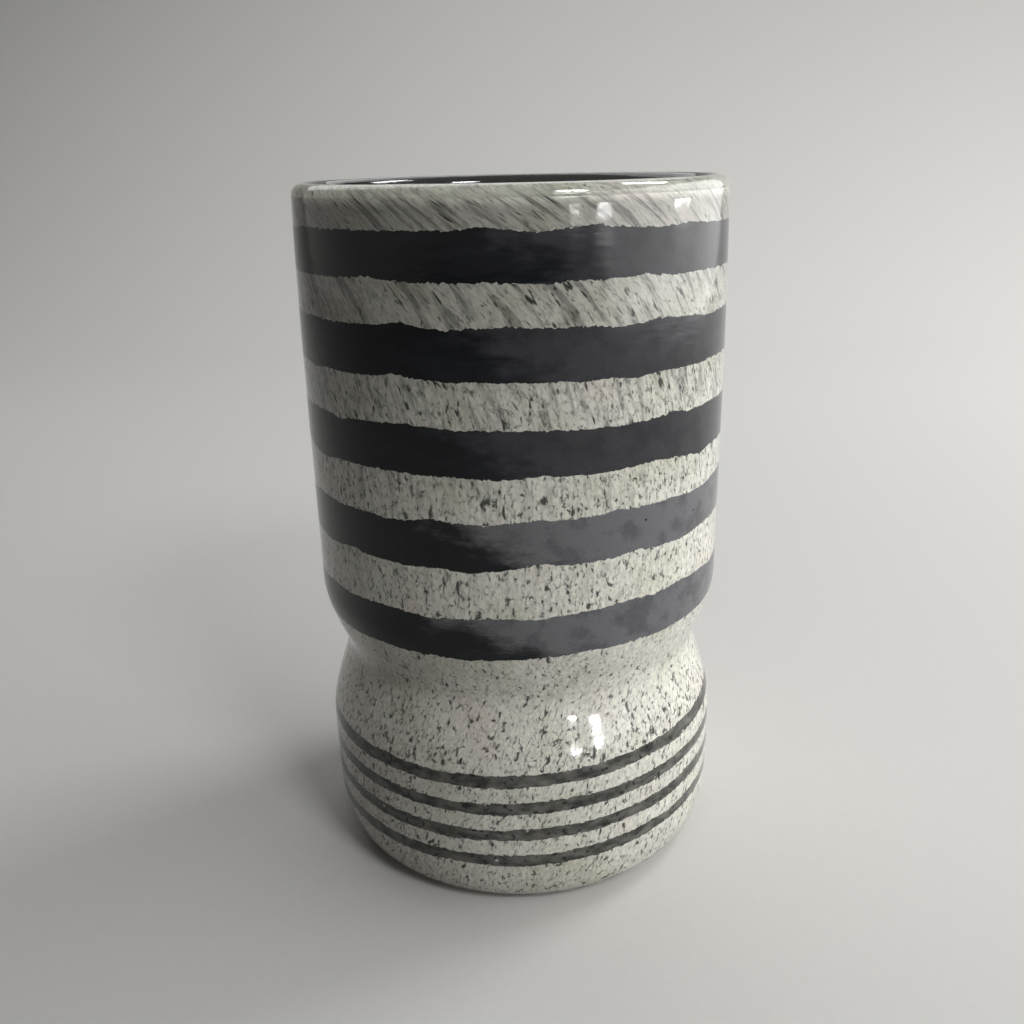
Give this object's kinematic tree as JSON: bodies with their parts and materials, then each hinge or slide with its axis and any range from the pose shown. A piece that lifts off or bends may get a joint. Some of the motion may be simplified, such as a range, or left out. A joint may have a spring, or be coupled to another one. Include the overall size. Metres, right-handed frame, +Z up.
{
  "type": "glass vase",
  "caption": "Blown glass vase with a tall body, pinched waist and round foot bulb: dark lining, speckled white layer, wound dark bands and threads, clear rounded lip.",
  "frame": {"origin": "on the vase's axis, at the level of the ground ring that it stands on", "axes": "+Z up along the axis to the rim, -Y towards the side that the picture shows"},
  "size_m": [0.146, 0.146, 0.24],
  "materials": {
    "speckled_glass": "gloss, opaque cream white with dark flecks",
    "lining_glass": "gloss, near black",
    "band_glass": "gloss, charcoal with lighter clouds",
    "thread_glass": "gloss, grey brown",
    "clear_glass": "gloss, clear with a grey cast, fire polished"
  },
  "bodies": {
    "root": {"speckled_layer": "speckled_glass", "dark_lining": "lining_glass", "clear_lip": "clear_glass", "wide_band_1": "band_glass", "wide_band_2": "band_glass", "wide_band_3": "band_glass", "wide_band_4": "band_glass", "wide_band_5": "band_glass", "fine_thread_1": "thread_glass", "fine_thread_2": "thread_glass", "fine_thread_3": "thread_glass", "fine_thread_4": "thread_glass"}
  },
  "joints": []
}
